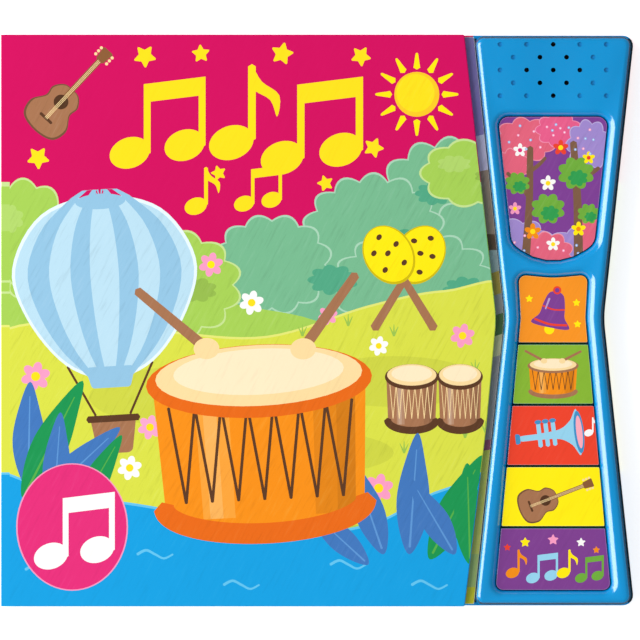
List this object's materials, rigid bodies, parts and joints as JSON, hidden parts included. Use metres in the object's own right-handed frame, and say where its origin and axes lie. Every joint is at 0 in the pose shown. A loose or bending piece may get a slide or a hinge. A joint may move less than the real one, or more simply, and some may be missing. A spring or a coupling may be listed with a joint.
{
  "type": "sound book",
  "caption": "Hardback children's sound book with a die-cut cover and an hourglass sound module whose picture keys press.",
  "frame": {"origin": "centre of the closed book's bounding box, on the outer face of the back cover", "axes": "+X from the spine to the sound module, +Y to the head of the book, +Z from the back cover to the front cover"},
  "size_m": [0.249, 0.225, 0.02],
  "materials": {
    "cover_print": "gloss laminated print",
    "back_cover_print": "gloss laminated print",
    "print_pink": "gloss laminated print",
    "print_orange": "gloss laminated print",
    "print_blue": "gloss laminated print",
    "print_yellow_green": "gloss laminated print",
    "print_green": "gloss laminated print",
    "print_teal": "gloss laminated print",
    "page_board": "coated stiff paper",
    "housing_plastic": "gloss moulded",
    "key_plastic": "gloss moulded",
    "label_violet": "satin laminated print",
    "label_orange": "satin laminated print",
    "label_green": "satin laminated print",
    "label_red": "satin laminated print",
    "label_yellow": "satin laminated print",
    "silicone": "matte",
    "circuit": "satin",
    "epoxy": "satin",
    "steel": "plated",
    "magnet": "plated",
    "cone_paper": "matte",
    "lead_red": "matte",
    "lead_black": "matte",
    "cell_steel": "polished",
    "nickel": "plated"
  },
  "bodies": {
    "base": {"back_cover": "back_cover_print", "page_block": "page_board", "front_housing": "housing_plastic", "rear_housing": "housing_plastic", "dome_1": "silicone", "dome_2": "silicone", "dome_3": "silicone", "dome_4": "silicone", "dome_5": "silicone", "dome_6": "silicone", "circuit_board": "circuit", "sound_chip": "epoxy", "speaker_frame": "steel", "speaker_magnet": "magnet", "speaker_cone": "cone_paper", "speaker_lead_1": "lead_red", "speaker_lead_2": "lead_black", "button_cell_1": "cell_steel", "button_cell_2": "cell_steel", "button_cell_3": "cell_steel", "battery_contact": "nickel", "battery_spring": "nickel", "battery_door": "housing_plastic", "battery_screw": "steel", "housing_screw_1": "steel", "housing_screw_2": "steel", "housing_screw_3": "steel", "housing_screw_4": "steel", "housing_screw_5": "steel", "housing_screw_6": "steel"},
    "spine": {"spine_board": "cover_print"},
    "cover": {"front_cover": "cover_print", "print_disc": "print_pink", "print_drum": "print_orange", "print_foreground": "print_blue", "print_meadow": "print_yellow_green", "print_hill": "print_green", "print_far_hill": "print_teal"},
    "sound_key_1": {"key_1": "key_plastic", "label_1": "label_violet"},
    "sound_key_2": {"key_2": "key_plastic", "label_2": "label_orange"},
    "sound_key_3": {"key_3": "key_plastic", "label_3": "label_green"},
    "sound_key_4": {"key_4": "key_plastic", "label_4": "label_red"},
    "sound_key_5": {"key_5": "key_plastic", "label_5": "label_yellow"},
    "sound_key_6": {"key_6": "key_plastic", "label_6": "label_violet"}
  },
  "joints": [
    {"name": "spine_fold", "type": "hinge", "parent": "base", "child": "spine", "pos_m": [-0.1245, 0, 0], "axis": [0, -1, 0], "range_deg": [0, 90]},
    {"name": "front_cover_fold", "type": "hinge", "parent": "spine", "child": "cover", "pos_m": [-0.1245, 0, 0.0167], "axis": [0, -1, 0], "range_deg": [0, 90]},
    {"name": "key_1_press", "type": "slide", "parent": "base", "child": "sound_key_1", "axis": [0, 0, -1], "range_m": [0, 0.0008], "stiffness_N_per_m": 1500, "springref_m": -0.0004, "deforming": ["dome_1"]},
    {"name": "key_2_press", "type": "slide", "parent": "base", "child": "sound_key_2", "axis": [0, 0, -1], "range_m": [0, 0.0008], "stiffness_N_per_m": 1500, "springref_m": -0.0004, "deforming": ["dome_2"]},
    {"name": "key_3_press", "type": "slide", "parent": "base", "child": "sound_key_3", "axis": [0, 0, -1], "range_m": [0, 0.0008], "stiffness_N_per_m": 1500, "springref_m": -0.0004, "deforming": ["dome_3"]},
    {"name": "key_4_press", "type": "slide", "parent": "base", "child": "sound_key_4", "axis": [0, 0, -1], "range_m": [0, 0.0008], "stiffness_N_per_m": 1500, "springref_m": -0.0004, "deforming": ["dome_4"]},
    {"name": "key_5_press", "type": "slide", "parent": "base", "child": "sound_key_5", "axis": [0, 0, -1], "range_m": [0, 0.0008], "stiffness_N_per_m": 1500, "springref_m": -0.0004, "deforming": ["dome_5"]},
    {"name": "key_6_press", "type": "slide", "parent": "base", "child": "sound_key_6", "axis": [0, 0, -1], "range_m": [0, 0.0008], "stiffness_N_per_m": 1500, "springref_m": -0.0004, "deforming": ["dome_6"]}
  ]
}
